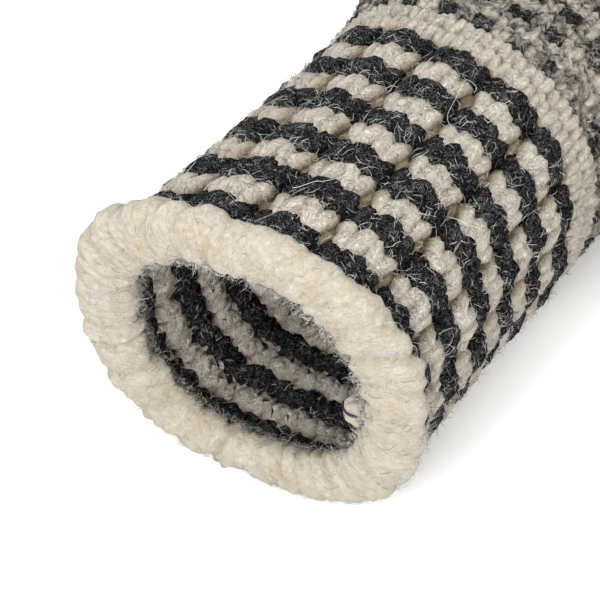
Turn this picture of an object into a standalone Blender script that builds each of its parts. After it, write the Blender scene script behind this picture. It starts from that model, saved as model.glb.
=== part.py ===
"""A pair of chunky hand-knitted wool mittens, filled out and lying side by side.

Each mitten lies along +Y with its back up: a rolled cast-on rim round the mouth, a ribbed cuff,
a hand and a thumb. All of them are walls round one hollow that is open at the mouth. The left
mitten has a short yarn end knotted inside its rim. Lengths are in metres.
"""

import collections
import math

import bpy
import bmesh
import numpy as np

# Driving dimensions of the pair.
MITTEN_SPACING = 0.206      # centre line to centre line
SEAM = 0.0003               # gap between two pieces where they are knitted together
FLATTENING = 0.002          # how far the soft underside is pressed up where it rests

# Rim: a thick roll that follows the mouth.
RIM_WIDTH = 0.0842
RIM_HEIGHT = 0.0848
RIM_SQUARENESS = 2.4
RIM_THICKNESS = 0.0135
RIM_LENGTH = 0.0085

# Cuff: sixteen ribs, each two plain stitches wide, with one sunk stitch between them.
CUFF_END = 0.084
CUFF_WALL = 0.007
RIB_COUNT = 16
RIB_PHASE = 0.14            # where the first valley lies, in ribs from the middle of the underside
RIB_RELIEF = 0.0026

# Hand and thumb.
HAND_LENGTH = 0.262
HAND_WALL = 0.0055
TIP_START = 0.186           # the closed end rounds off from here
TIP_FULLNESS = 2.2
THUMB_START = (0.0172, 0.128, 0.031)
THUMB_LENGTH = 0.090
THUMB_TURN = (62.0, 8.0)    # degrees from the mitten's line, at its root and at its tip
THUMB_RADIUS = (0.0190, 0.0155)
THUMB_DROP = 0.0145
THUMB_WALL = 0.005
THUMB_TIP_START = 0.071

# The mouth is pulled askew: its right side sits back and its upper edge leans out.
MOUTH_SLANT_ACROSS = 0.205
MOUTH_SLANT_UP = -0.045

# Yarn end knotted inside the rim of the left mitten.
KNOT_PLACE = (0.0250, 0.0119, 0.0346)
KNOT_LENGTH = 0.0074
KNOT_RADIUS = 0.0029
KNOT_WAIST = 0.22           # how much narrower the knot is at its middle
KNOT_WAIST_LENGTH = 0.25    # length of the waist, as a share of half the knot
KNOT_ROUNDNESS = 0.4        # power of the knot's profile: 0.5 is an ellipse
THREAD_RING_RADIUS = 0.00317
THREAD_RADIUS = 0.0003
THREAD_RING_OFFSET = 0.0012

# Sections of the cuff and hand: a row per section, from the rim to the fingers. Aside is how far the
# section's middle lies towards the thumb: the hand swings out from the cuff on the side without a thumb.
Section = collections.namedtuple("Section", "along width height squareness aside")
SECTIONS = (
    Section(0.000, 0.0783, 0.0835, 2.40, 0.0000),
    Section(0.030, 0.0783, 0.0835, 2.40, -0.0007),
    Section(0.060, 0.0785, 0.0835, 2.35, -0.0024),
    Section(0.084, 0.0816, 0.0827, 2.30, -0.0040),
    Section(0.105, 0.0870, 0.0795, 2.25, -0.0078),
    Section(0.130, 0.1005, 0.0735, 2.25, -0.0128),
    Section(0.160, 0.1060, 0.0665, 2.25, -0.0145),
    Section(0.186, 0.1050, 0.0620, 2.25, -0.0145),
    Section(0.220, 0.1030, 0.0590, 2.25, -0.0145),
)

# Steps that measure the length of an outline.
OUTLINE_STEPS = 1441

# Places of the rings that carry each wall, as shares of its length.
CUFF_RING_SHARES = (0.0, 0.05, 0.22, 0.42, 0.62, 0.82, 1.0)
HAND_RINGS_BEFORE_TIP = 8
HAND_RINGS_IN_TIP = 6
THUMB_RINGS = 9
THUMB_RINGS_IN_TIP = 5

# Columns round each ring.
COLUMNS_PER_RIB = 6
HAND_COLUMNS = 40
RIM_COLUMNS = 64
RIM_RINGS = 12
THUMB_COLUMNS = 20
KNOT_COLUMNS = 14
KNOT_RINGS = 9
THREAD_SIDES = 8
THREAD_STEPS = 24

# Depth of each column of a rib, as a share of the relief, from one valley to the next.
RIB_SHAPE = (1.0, 0.45, 0.0, 0.0, 0.0, 0.45)

WOOL_COLOURS = {
    "rim": (0.80, 0.76, 0.68, 1.0),
    "cuff": (0.09, 0.09, 0.10, 1.0),
    "hand": (0.62, 0.60, 0.56, 1.0),
    "thumb": (0.64, 0.61, 0.57, 1.0),
    "yarn_knot": (0.84, 0.80, 0.73, 1.0),
    "knot_thread": (0.10, 0.07, 0.10, 1.0),
}
WOOL_ROUGHNESS = 0.95


# ---------------------------------------------------------------- shape of the mitten

def section_at(along):
    """Width, height, squareness and aside at a distance along, on a smooth curve through SECTIONS."""
    rows = np.array(SECTIONS)
    places, values = rows[:, 0], rows[:, 1:]
    slopes = np.gradient(values, places, axis=0)
    along = np.clip(along, places[0], places[-1])
    after = min(int(np.searchsorted(places, along, side="right")), len(places) - 1)
    before = after - 1
    span = places[after] - places[before]
    t = (along - places[before]) / span
    smooth = 3 * t**2 - 2 * t**3
    leaving = (t**3 - 2 * t**2 + t) * span
    arriving = (t**3 - t**2) * span
    between = values[before] * (1 - smooth) + values[after] * smooth
    return between + slopes[before] * leaving + slopes[after] * arriving


def tip_share(along, wall):
    """How much of its width the hand keeps at this distance: 1, and less where the tip rounds off."""
    end = HAND_LENGTH - wall
    past = np.clip((along - TIP_START) / (end - TIP_START), 0.0, 1.0)
    return (1 - past**TIP_FULLNESS) ** (1 / TIP_FULLNESS)


def slant(points):
    """Shears the points along the mitten, fully at the mouth and not at all past the cuff."""
    fade = np.clip(1 - points[:, 1] / CUFF_END, 0.0, 1.0)
    middle = RIM_HEIGHT / 2 - FLATTENING
    shift = MOUTH_SLANT_ACROSS * points[:, 0] + MOUTH_SLANT_UP * (points[:, 2] - middle)
    points[:, 1] += fade * shift
    return points


def superellipse(angle, half_width, half_height, squareness):
    """Points on a rounded rectangle: each axis is the cosine or sine to the power 2 / squareness."""
    cosine, sine = np.cos(angle), np.sin(angle)
    across = half_width * np.sign(cosine) * np.abs(cosine) ** (2 / squareness)
    up = half_height * np.sign(sine) * np.abs(sine) ** (2 / squareness)
    return across, up


def even_angles(shares, half_width, half_height, squareness):
    """Angles that lie at these shares of the outline's length, counted from the middle of the underside."""
    angle = np.linspace(-0.5 * math.pi, 1.5 * math.pi, OUTLINE_STEPS)
    across, up = superellipse(angle, half_width, half_height, squareness)
    length = np.concatenate([[0.0], np.cumsum(np.hypot(np.diff(across), np.diff(up)))])
    return np.interp(np.mod(shares, 1.0) * length[-1], length, angle)


def ring(along, shares, width, height, squareness, aside, depth, floor=0.0):
    """One ring of a wall: the outline made smaller by depth all round, and pressed up to the floor."""
    angle = even_angles(shares, width / 2, height / 2, squareness)
    across, up = superellipse(angle, width / 2 - depth, height / 2 - depth, squareness)
    up = np.maximum(up + height / 2 - FLATTENING, floor)
    points = slant(np.column_stack([across, np.full_like(across, along), up]))
    points[:, 0] += aside
    return points


def rim_rings():
    """The roll: an ellipse in the plane of depth and length, carried round the mouth's outline."""
    shares = np.arange(RIM_COLUMNS) / RIM_COLUMNS
    rings = []
    for turn in np.linspace(0.0, 2 * math.pi, RIM_RINGS, endpoint=False):
        depth = RIM_THICKNESS / 2 * (1 - math.cos(turn))
        along = RIM_LENGTH / 2 * (1 + math.sin(turn))
        rings.append(ring(along, shares, RIM_WIDTH, RIM_HEIGHT, RIM_SQUARENESS, 0.0, depth))
    return rings


def rib_columns():
    """Shares of the way round, and depths as shares of the relief, for every column of the ribbing."""
    columns = np.arange(RIB_COUNT * COLUMNS_PER_RIB)
    shares = (columns / COLUMNS_PER_RIB + RIB_PHASE) / RIB_COUNT
    return shares, np.tile(RIB_SHAPE, RIB_COUNT)


def cuff_rings():
    """Ribbed rings outside, from the rim to the hand, then plain rings inside on the way back."""
    shares, sunk = rib_columns()
    start = RIM_LENGTH + SEAM
    places = start + (CUFF_END - start) * np.array(CUFF_RING_SHARES)
    outside = [ring(at, shares, *section_at(at), RIB_RELIEF * sunk) for at in places]
    inside = [ring(at, shares, *section_at(at), CUFF_WALL, CUFF_WALL) for at in places[::-2]]
    return outside + inside


def hand_places(wall):
    """Distances along the hand, even up to the tip and then closer together to its end."""
    straight = np.linspace(CUFF_END + SEAM, TIP_START, HAND_RINGS_BEFORE_TIP, endpoint=False)
    turn = np.linspace(0.0, 0.5 * math.pi, HAND_RINGS_IN_TIP, endpoint=False)
    return np.concatenate([straight, TIP_START + (HAND_LENGTH - wall - TIP_START) * np.sin(turn)])


def hand_surface(wall, columns=HAND_COLUMNS):
    """Rings of the hand's surface at this depth below its outside, and the point that closes its tip."""
    shares = np.arange(columns) / columns
    rings = []
    for at in hand_places(wall):
        width, height, squareness, aside = section_at(at)
        kept = tip_share(at, wall)
        middle = height / 2 - FLATTENING
        angle = even_angles(shares, width / 2, height / 2, squareness)
        across, up = superellipse(angle, (width / 2 - wall) * kept, (height / 2 - wall) * kept, squareness)
        up = np.maximum(up + middle, max(wall, 0.0))
        rings.append(np.column_stack([across + aside, np.full_like(across, at), up]))
    return rings, np.array([aside, HAND_LENGTH - wall, middle])


def thumb_centre(at):
    """Centre and turn of the thumb at a distance from its root, on a curve whose turn changes evenly."""
    first, last = np.radians(THUMB_TURN)
    change = (last - first) / THUMB_LENGTH
    turn = first + change * at
    x = THUMB_START[0] + (math.cos(first) - math.cos(turn)) / change
    y = THUMB_START[1] + (math.sin(turn) - math.sin(first)) / change
    z = THUMB_START[2] - THUMB_DROP * at / THUMB_LENGTH
    return np.array([x, y, z]), turn


def thumb_surface(wall):
    """Rings of the thumb's surface at this depth below its outside, and the points that close its ends."""
    end = THUMB_LENGTH - wall
    straight = np.linspace(0.0, THUMB_TIP_START, THUMB_RINGS, endpoint=False)
    quarter = np.linspace(0.0, 0.5 * math.pi, THUMB_RINGS_IN_TIP, endpoint=False)
    places = np.concatenate([straight, THUMB_TIP_START + (end - THUMB_TIP_START) * np.sin(quarter)])
    angle = np.linspace(0.0, 2 * math.pi, THUMB_COLUMNS, endpoint=False)
    rings = []
    for at in places:
        centre, turn = thumb_centre(at)
        side = np.array([math.cos(turn), -math.sin(turn), 0.0])
        radius = np.interp(at, (0.0, THUMB_LENGTH), THUMB_RADIUS) - wall
        past = max(0.0, (at - THUMB_TIP_START) / (end - THUMB_TIP_START))
        radius *= math.sqrt(1 - past**2)
        circle = np.outer(np.cos(angle), side) + np.outer(np.sin(angle), (0.0, 0.0, 1.0))
        rings.append(centre + radius * circle)
    return rings, thumb_centre(0.0)[0], thumb_centre(end)[0]


# ---------------------------------------------------------------- meshes

def new_object(name, vertices, faces, hand, mirrored):
    """A mesh object with its faces pointing out. A mirrored one is the other hand's piece."""
    vertices = np.array(vertices, dtype=float)
    if mirrored:
        vertices[:, 0] *= -1
    mesh = bpy.data.meshes.new(name)
    mesh.from_pydata([tuple(point) for point in vertices], [], faces)
    shell = bmesh.new()
    shell.from_mesh(mesh)
    bmesh.ops.recalc_face_normals(shell, faces=shell.faces)
    shell.to_mesh(mesh)
    shell.free()
    mesh.shade_smooth()
    mesh.set_sharp_from_angle(angle=math.radians(50))
    new = bpy.data.objects.new(name, mesh)
    bpy.context.scene.collection.objects.link(new)
    new.parent = hand
    return new


def bands(ring_count, columns, first=0, around=False):
    """Four-sided faces between each ring and the next, and between the last and the first if around."""
    faces = []
    last = ring_count if around else ring_count - 1
    for row in range(last):
        here = first + row * columns
        there = first + ((row + 1) % ring_count) * columns
        for column in range(columns):
            beside = (column + 1) % columns
            faces.append((here + column, here + beside, there + beside, there + column))
    return faces


def cap(ring_index, point_index, columns):
    """Triangles that close one ring onto a point."""
    first = ring_index * columns
    return [(first + c, first + (c + 1) % columns, point_index) for c in range(columns)]


def closed_tube(name, rings, hand, mirrored):
    """A wall whose rings run round its own section and meet again."""
    columns = len(rings[0])
    return new_object(name, np.concatenate(rings), bands(len(rings), columns, around=True), hand, mirrored)


def capped_tube(name, rings, first_point, last_point, hand, mirrored):
    """A surface through rings that is closed by a point at each end."""
    columns = len(rings[0])
    count = len(rings)
    vertices = np.concatenate([np.concatenate(rings), [first_point, last_point]])
    faces = bands(count, columns)
    faces += cap(0, count * columns, columns)
    faces += cap(count - 1, count * columns + 1, columns)
    return new_object(name, vertices, faces, hand, mirrored)


def boolean_cut(target, cutter):
    """Cuts one object out of another with an exact Boolean. The cutter isn't part of the model."""
    cutter.hide_render = True
    cutter.display_type = "WIRE"
    cut = target.modifiers.new("cut", "BOOLEAN")
    cut.operation = "DIFFERENCE"
    cut.solver = "EXACT"
    cut.object = cutter


def wool(piece):
    """A plain rough material in the colour of this piece's wool."""
    material = bpy.data.materials.get(piece) or bpy.data.materials.new(piece)
    material.use_nodes = True
    shader = material.node_tree.nodes["Principled BSDF"]
    shader.inputs["Base Color"].default_value = WOOL_COLOURS[piece]
    shader.inputs["Roughness"].default_value = WOOL_ROUGHNESS
    shader.inputs["Metallic"].default_value = 0.0
    material.diffuse_color = WOOL_COLOURS[piece]
    return material


# ---------------------------------------------------------------- pieces

def make_rim(side, hand, mirrored):
    rim = closed_tube(f"{side}_rim", rim_rings(), hand, mirrored)
    rim.data.materials.append(wool("rim"))


def make_cuff(side, hand, mirrored):
    cuff = closed_tube(f"{side}_cuff", cuff_rings(), hand, mirrored)
    cuff.data.materials.append(wool("cuff"))


def make_hand(side, hand, mirrored):
    """The hand's wall, with a hole where the hollow of the thumb comes in."""
    outside, outer_tip = hand_surface(0.0)
    inside, inner_tip = hand_surface(HAND_WALL)
    rings = inside[::-1] + outside
    wall = capped_tube(f"{side}_hand", rings, inner_tip, outer_tip, hand, mirrored)
    wall.data.materials.append(wool("hand"))
    hollow = capped_tube(f"{side}_thumb_hollow", *thumb_surface(THUMB_WALL), hand, mirrored)
    boolean_cut(wall, hollow)


def make_thumb(side, hand, mirrored):
    """The thumb's wall, cut off just outside the hand, where it is knitted on."""
    outside, _, tip = thumb_surface(0.0)
    inside, _, inner_tip = thumb_surface(THUMB_WALL)
    rings = inside[::-1] + outside
    thumb = capped_tube(f"{side}_thumb", rings, inner_tip, tip, hand, mirrored)
    thumb.data.materials.append(wool("thumb"))
    rings, hand_tip = hand_surface(-SEAM)
    _, height, _, aside = section_at(CUFF_END)
    front = np.array([aside, CUFF_END + SEAM, height / 2 - FLATTENING])
    envelope = capped_tube(f"{side}_hand_envelope", rings, front, hand_tip, hand, mirrored)
    boolean_cut(thumb, envelope)


def make_yarn_knot(side, hand, mirrored):
    """A short end of yarn pulled into a knot: a spindle with a waist, turned about its upright axis."""
    heights = np.cos(np.linspace(0.0, math.pi, KNOT_RINGS + 2))[1:-1]
    angle = np.linspace(0.0, 2 * math.pi, KNOT_COLUMNS, endpoint=False)
    flat_circle = np.column_stack([np.cos(angle), np.sin(angle), np.zeros(KNOT_COLUMNS)])
    middle = np.array(KNOT_PLACE)
    top = middle + (0.0, 0.0, KNOT_LENGTH / 2)
    bottom = middle - (0.0, 0.0, KNOT_LENGTH / 2)
    rings = []
    for height in heights:
        waist = 1 - KNOT_WAIST * math.exp(-((height / KNOT_WAIST_LENGTH) ** 2))
        radius = KNOT_RADIUS * (1 - height**2) ** KNOT_ROUNDNESS * waist
        rings.append(middle + radius * flat_circle + (0.0, 0.0, KNOT_LENGTH / 2 * height))
    knot = capped_tube(f"{side}_yarn_knot", rings, top, bottom, hand, mirrored)
    knot.data.materials.append(wool("yarn_knot"))


def make_knot_thread(side, hand, mirrored):
    """A ring of thin thread that binds the knot, just clear of it."""
    middle = np.array(KNOT_PLACE) + (0.0, 0.0, THREAD_RING_OFFSET)
    angle = np.linspace(0.0, 2 * math.pi, THREAD_SIDES, endpoint=False)
    rings = []
    for turn in np.linspace(0.0, 2 * math.pi, THREAD_STEPS, endpoint=False):
        out = np.array([math.cos(turn), math.sin(turn), 0.0])
        section = np.outer(np.cos(angle), out) + np.outer(np.sin(angle), (0.0, 0.0, 1.0))
        rings.append(middle + THREAD_RING_RADIUS * out + THREAD_RADIUS * section)
    thread = closed_tube(f"{side}_knot_thread", rings, hand, mirrored)
    thread.data.materials.append(wool("knot_thread"))


def middle_of_length():
    """Halfway between the foremost point of the rim and the tip of the hand."""
    front = min(points[:, 1].min() for points in rim_rings())
    return (front + HAND_LENGTH) / 2


def make_mitten(side, mirrored):
    """All pieces of one mitten under an empty that stands at the middle of its underside."""
    hand = bpy.data.objects.new(f"{side}_mitten", None)
    bpy.context.scene.collection.objects.link(hand)
    offset = MITTEN_SPACING / 2
    hand.location = (offset if mirrored else -offset, -middle_of_length(), 0.0)
    make_rim(side, hand, mirrored)
    make_cuff(side, hand, mirrored)
    make_hand(side, hand, mirrored)
    make_thumb(side, hand, mirrored)
    return hand


def main():
    for old in list(bpy.data.objects):
        bpy.data.objects.remove(old, do_unlink=True)
    left = make_mitten("left", mirrored=False)
    make_mitten("right", mirrored=True)
    make_yarn_knot("left", left, mirrored=False)
    make_knot_thread("left", left, mirrored=False)


main()
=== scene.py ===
"""Looks of a pair of chunky hand-knitted wool mittens: yarn, rolled rims, loose hairs and wool finishes.

Laid out as a Blender add-on and run as a script. All lengths are in metres. Each mitten is worked out in
its own frame, with the mouth at y = 0, the underside at z = 0 and the centre line at x = 0.
"""

import collections
import functools
import math

import bpy
import numpy as np
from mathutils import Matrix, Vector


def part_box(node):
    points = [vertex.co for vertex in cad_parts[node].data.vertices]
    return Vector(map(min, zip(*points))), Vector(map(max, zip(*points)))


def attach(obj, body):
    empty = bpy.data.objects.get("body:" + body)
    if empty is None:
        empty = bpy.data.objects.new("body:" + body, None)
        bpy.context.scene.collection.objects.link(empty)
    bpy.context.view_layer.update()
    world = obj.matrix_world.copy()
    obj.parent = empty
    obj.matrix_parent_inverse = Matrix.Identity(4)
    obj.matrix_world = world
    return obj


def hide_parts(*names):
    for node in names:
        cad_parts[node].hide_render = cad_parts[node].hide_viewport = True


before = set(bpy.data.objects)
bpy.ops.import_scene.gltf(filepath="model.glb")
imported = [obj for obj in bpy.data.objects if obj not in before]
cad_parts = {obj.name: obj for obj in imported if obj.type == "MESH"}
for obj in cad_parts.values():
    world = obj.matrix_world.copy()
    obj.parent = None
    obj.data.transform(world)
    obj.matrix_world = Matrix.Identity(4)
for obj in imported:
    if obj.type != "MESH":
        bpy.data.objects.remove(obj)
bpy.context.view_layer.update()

bl_info = {
    "name": "Knitted mittens",
    "version": (1, 0, 0),
    "blender": (4, 5, 0),
    "location": "3D View > Sidebar > Mittens",
    "description": "Builds the yarn, the rims, the loose hairs and the stage of a pair of knitted mittens",
    "category": "Object",
}

ROOT = "root"

# -------- sizes that the solids have

MITTEN_SPACING = 0.206
FLATTENING = 0.002
RIM_WIDTH, RIM_HEIGHT, RIM_SQUARENESS = 0.0842, 0.0848, 2.4
RIM_THICKNESS, RIM_LENGTH = 0.0135, 0.0085
CUFF_END, CUFF_WALL = 0.084, 0.007
RIB_COUNT, RIB_PHASE, RIB_RELIEF = 16, 0.14, 0.0026
HAND_LENGTH = 0.262
TIP_START, TIP_FULLNESS = 0.186, 2.2
THUMB_START = (0.0172, 0.128, 0.031)
THUMB_LENGTH, THUMB_TURN = 0.090, (62.0, 8.0)
THUMB_RADIUS, THUMB_DROP = (0.0190, 0.0155), 0.0145
THUMB_TIP_START = 0.071
MOUTH_SLANT_ACROSS, MOUTH_SLANT_UP = 0.205, -0.045
KNOT_PLACE = (0.0250, 0.0119, 0.0346)
KNOT_LENGTH, KNOT_RADIUS = 0.0078, 0.0032

Section = collections.namedtuple("Section", "along width height squareness aside")
SECTIONS = (
    Section(0.000, 0.0783, 0.0835, 2.40, 0.0000),
    Section(0.030, 0.0783, 0.0835, 2.40, -0.0007),
    Section(0.060, 0.0785, 0.0835, 2.35, -0.0024),
    Section(0.084, 0.0816, 0.0827, 2.30, -0.0040),
    Section(0.105, 0.0870, 0.0795, 2.25, -0.0078),
    Section(0.130, 0.1005, 0.0735, 2.25, -0.0128),
    Section(0.160, 0.1060, 0.0665, 2.25, -0.0145),
    Section(0.186, 0.1050, 0.0620, 2.25, -0.0145),
    Section(0.220, 0.1030, 0.0590, 2.25, -0.0145),
)
MITTEN_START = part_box("left_hand")[1][1] - HAND_LENGTH     # world y of the mouth's centre

# -------- sizes of the knitting

CUFF_ROUNDS = 11
FIRST_ROUND = 0.0105            # centre of the first charcoal round
ROUND_PITCH = 0.00687
HAND_ROUND_PITCH = 0.0062
CUFF_STITCHES = 3 * RIB_COUNT
STITCH_WIDTH = 0.0056           # of the hand and thumb
COLUMN_EDGES = (-0.12, 0.12, 0.50, 0.88)    # of the sunk stitch and the two plain ones, in ribs
RIB_WIDTH = 0.0166
RIB_DIP = 0.19                  # half-width of the dip at a sunk stitch, in ribs
FLECK_EVERY = 2                 # columns from one fleck to the next in a flecked round
LEAST_STITCHES = 6              # in a round at a tip
OUT_STEP = 0.0005               # between two points that give the way out of the cloth
STRAND_SHIFT = 0.37             # of the fibres' pattern from one round to the next
CUFF_CLOTH, HAND_CLOTH, THUMB_CLOTH = (0.0029, 0.0045), (0.0022, 0.0036), (0.0020, 0.0034)    # depths


# ======== the mitten's surface

def cubic(first, last, leaving, arriving, t):
    """From first to last as t goes from 0 to 1, with these slopes where it leaves and arrives."""
    smooth = 3 * t**2 - 2 * t**3
    return first * (1 - smooth) + last * smooth + leaving * (t**3 - 2 * t**2 + t) + arriving * (t**3 - t**2)


def section_at(along):
    """Width, height, squareness and aside at each distance: a cubic through the rows of SECTIONS."""
    rows = np.array(SECTIONS)
    places, values = rows[:, 0], rows[:, 1:]
    slopes = np.gradient(values, places, axis=0)
    along = np.clip(along, places[0], places[-1])
    after = np.clip(np.searchsorted(places, along, side="right"), 1, len(places) - 1)
    before = after - 1
    span = (places[after] - places[before])[..., None]
    t = (along - places[before])[..., None] / span
    found = cubic(values[before], values[after], slopes[before] * span, slopes[after] * span, t)
    return np.moveaxis(found, -1, 0)


def power_circle(angle, squareness):
    """Points of a rounded square of half-width 1: cosine and sine, each to the power 2 / squareness."""
    cosine, sine = np.cos(angle), np.sin(angle)
    power = 2 / squareness
    return np.sign(cosine) * np.abs(cosine) ** power, np.sign(sine) * np.abs(sine) ** power


def share_table(width, height, squareness, steps=721):
    """Angle at each even share of an outline's length, and that length, a row for each outline."""
    angle = np.linspace(-0.5 * math.pi, 1.5 * math.pi, steps)
    across, up = power_circle(angle, np.reshape(squareness, (-1, 1)))
    across = across * np.reshape(width, (-1, 1)) / 2
    up = up * np.reshape(height, (-1, 1)) / 2
    length = np.cumsum(np.hypot(np.diff(across, axis=1), np.diff(up, axis=1)), axis=1)
    length = np.hstack([np.zeros((len(length), 1)), length])
    shares = np.linspace(0.0, 1.0, steps)
    return np.stack([np.interp(shares * row[-1], row, angle) for row in length]), length[:, -1]


TABLE_ALONG = np.linspace(0.0, SECTIONS[-1].along, 45)
BODY_ANGLES, BODY_GIRTHS = share_table(*section_at(TABLE_ALONG)[:3])
RIM_ANGLES, RIM_GIRTH = share_table([RIM_WIDTH], [RIM_HEIGHT], [RIM_SQUARENESS])


def look_up(table, share, row):
    """Value of the table between its four nearest entries, for a share of the way round and a row."""
    last_row, last_column = table.shape[0] - 1, table.shape[1] - 1
    column = np.mod(share, 1.0) * last_column
    row = np.clip(row, 0, last_row)
    left = np.minimum(column.astype(int), last_column - 1)
    low = np.minimum(row.astype(int), max(last_row - 1, 0))
    high = np.minimum(low + 1, last_row)
    x, y = column - left, row - low
    lower = table[low, left] * (1 - x) + table[low, left + 1] * x
    upper = table[high, left] * (1 - x) + table[high, left + 1] * x
    return lower * (1 - y) + upper * y


def slant(points):
    """Shears the points along the mitten, fully at the mouth and not at all past the cuff."""
    fade = np.clip(1 - points[..., 1] / CUFF_END, 0.0, 1.0)
    middle = RIM_HEIGHT / 2 - FLATTENING
    shift = MOUTH_SLANT_ACROSS * points[..., 0] + MOUTH_SLANT_UP * (points[..., 2] - middle)
    points[..., 1] += fade * shift
    return points


def outline_point(angle, along, depth, section, kept=1.0):
    """A point at this angle of a section's outline, sunk by depth, and pressed up where the mitten rests."""
    width, height, squareness, _ = section
    across, up = power_circle(angle, squareness)
    x = across * (width / 2 - depth) * kept
    z = up * (height / 2 - depth) * kept + height / 2 - FLATTENING
    return np.stack([x, along + 0 * x, np.maximum(z, depth)], axis=-1)


def cuff_point(share, along, depth):
    """A point of the cuff, from its share of the way round, its distance along and its depth."""
    angle = look_up(BODY_ANGLES, share, np.clip(along, 0, None) / TABLE_ALONG[1])
    section = section_at(along)
    points = slant(outline_point(angle, along, depth, section))
    points[..., 0] += section[-1]
    return points


def rib_depth(share):
    """How far the ribbing sinks below its crests: a smooth dip of RIB_RELIEF at each sunk stitch."""
    from_valley = np.mod(share * RIB_COUNT - RIB_PHASE + 0.5, 1.0) - 0.5
    return RIB_RELIEF * np.exp(-((from_valley / RIB_DIP) ** 2))


def meridian_table(steps=400):
    """Distance along, share of width kept and length over the surface, from the cuff to the tip's pole."""
    turn = np.linspace(0.0, 0.5 * math.pi, steps)
    straight = np.linspace(CUFF_END, TIP_START, steps, endpoint=False)
    past = np.sin(turn)
    kept = np.concatenate([np.ones(steps), (1 - past**TIP_FULLNESS) ** (1 / TIP_FULLNESS)])
    along = np.concatenate([straight, TIP_START + (HAND_LENGTH - TIP_START) * past])
    width, height, _, _ = section_at(along)
    radius = (width + height) / 4 * kept
    length = np.concatenate([[0.0], np.cumsum(np.hypot(np.diff(along), np.diff(radius)))])
    return along, kept, length


HAND_ALONG, HAND_KEPT, HAND_MERIDIAN = meridian_table()


def hand_point(share, meridian, depth):
    """A point of the hand, from its share of the way round and its distance over the surface."""
    along = np.interp(meridian, HAND_MERIDIAN, HAND_ALONG)
    kept = np.interp(meridian, HAND_MERIDIAN, HAND_KEPT)
    angle = look_up(BODY_ANGLES, share + 0 * along, along / TABLE_ALONG[1])
    past = np.clip((along - TIP_START) / (HAND_LENGTH - TIP_START), 0.0, 1.0)
    sunk_along = along - depth * past
    section = section_at(along)
    points = outline_point(angle, sunk_along, depth, section, kept)
    points[..., 0] += section[-1]
    return points


def hand_girth(meridian):
    """Length round the hand at a distance over its surface."""
    along = np.interp(meridian, HAND_MERIDIAN, HAND_ALONG)
    return np.interp(along, TABLE_ALONG, BODY_GIRTHS) * np.interp(meridian, HAND_MERIDIAN, HAND_KEPT)


def thumb_girth(at):
    """Length round the thumb at a distance along it."""
    past = max(0.0, (at - THUMB_TIP_START) / (THUMB_LENGTH - THUMB_TIP_START))
    return 2 * math.pi * float(np.interp(at, (0, THUMB_LENGTH), THUMB_RADIUS)) * math.sqrt(1 - past**2)


def thumb_point(share, at, depth):
    """A point of the thumb: a circle that shrinks to its tip, carried along a curve that turns evenly.

    Near its root each circle leans, so that it lies against the side of the hand."""
    first, last = np.radians(THUMB_TURN)
    change = (last - first) / THUMB_LENGTH
    angle = 2 * math.pi * share
    lean = math.tan(0.5 * math.pi - first) * np.clip(1 - at / THUMB_TIP_START, 0.0, 1.0)
    at = at + lean * np.cos(angle) * THUMB_RADIUS[0]
    end = THUMB_LENGTH - depth
    at = np.clip(at, 0.0, end)
    turn = first + change * at
    x = THUMB_START[0] + (math.cos(first) - np.cos(turn)) / change
    y = THUMB_START[1] + (np.sin(turn) - math.sin(first)) / change
    z = THUMB_START[2] - THUMB_DROP * at / THUMB_LENGTH
    past = np.clip((at - THUMB_TIP_START) / (end - THUMB_TIP_START), 0.0, 1.0)
    radius = np.interp(at, (0.0, THUMB_LENGTH), THUMB_RADIUS) - depth
    radius = radius * np.sqrt(1 - past**2)
    across = radius * np.cos(angle)
    return np.stack(
        [x + across * np.cos(turn), y - across * np.sin(turn), z + radius * np.sin(angle)], axis=-1
    )


def rim_point(share, turn, out):
    """A point of the rolled rim: a turn round the roll's section, moved out from its surface.

    The section is an ellipse in the plane of depth and length, and turn 0 is the outer side."""
    depth = RIM_THICKNESS / 2 - (RIM_THICKNESS / 2 + out) * np.cos(turn)
    along = RIM_LENGTH / 2 + (RIM_LENGTH / 2 + out) * np.sin(turn)
    share = share + 0 * turn
    angle = look_up(RIM_ANGLES, share, 0 * share)
    across, up = power_circle(angle, RIM_SQUARENESS)
    x = across * (RIM_WIDTH / 2 - depth)
    z = up * (RIM_HEIGHT / 2 - depth) + RIM_HEIGHT / 2 - FLATTENING
    return slant(np.stack([x, along, np.maximum(z, 0.0)], axis=-1))


# ======== arrays and meshes

def unit(vectors):
    return vectors / np.maximum(np.linalg.norm(vectors, axis=-1, keepdims=True), 1e-12)


def lumps(points, size, seed, waves=7):
    """Smooth unevenness from -1 to 1: a sum of sine waves of about this size in random directions."""
    rng = np.random.default_rng(seed)
    directions = unit(rng.normal(size=(waves, 3))) * rng.uniform(0.7, 1.6, (waves, 1)) * 2 * math.pi / size
    phases = rng.uniform(0, 2 * math.pi, waves)
    return np.sin(points @ directions.T + phases).sum(axis=-1) / math.sqrt(waves)


def grid_quads(rows, columns, close_rows, close_columns, first=0):
    """Quads between neighbours on a grid of points, joined up at its ends where it is closed."""
    row = np.arange(rows if close_rows else rows - 1)[:, None]
    column = np.arange(columns if close_columns else columns - 1)[None, :]
    next_row, next_column = (row + 1) % rows, (column + 1) % columns
    corners = [row * columns + column, row * columns + next_column,
               next_row * columns + next_column, next_row * columns + column]
    return first + np.stack(corners, axis=-1).reshape(-1, 4)


def pole_triangles(columns, count):
    """Triangles that close a grid of this many points with two poles, its first row's and its last row's."""
    around = np.arange(columns)
    beside = (around + 1) % columns
    last = count - columns
    return np.concatenate([
        np.stack([beside, around, np.full(columns, count)], axis=1),
        np.stack([last + around, last + beside, np.full(columns, count + 1)], axis=1),
    ])


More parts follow.
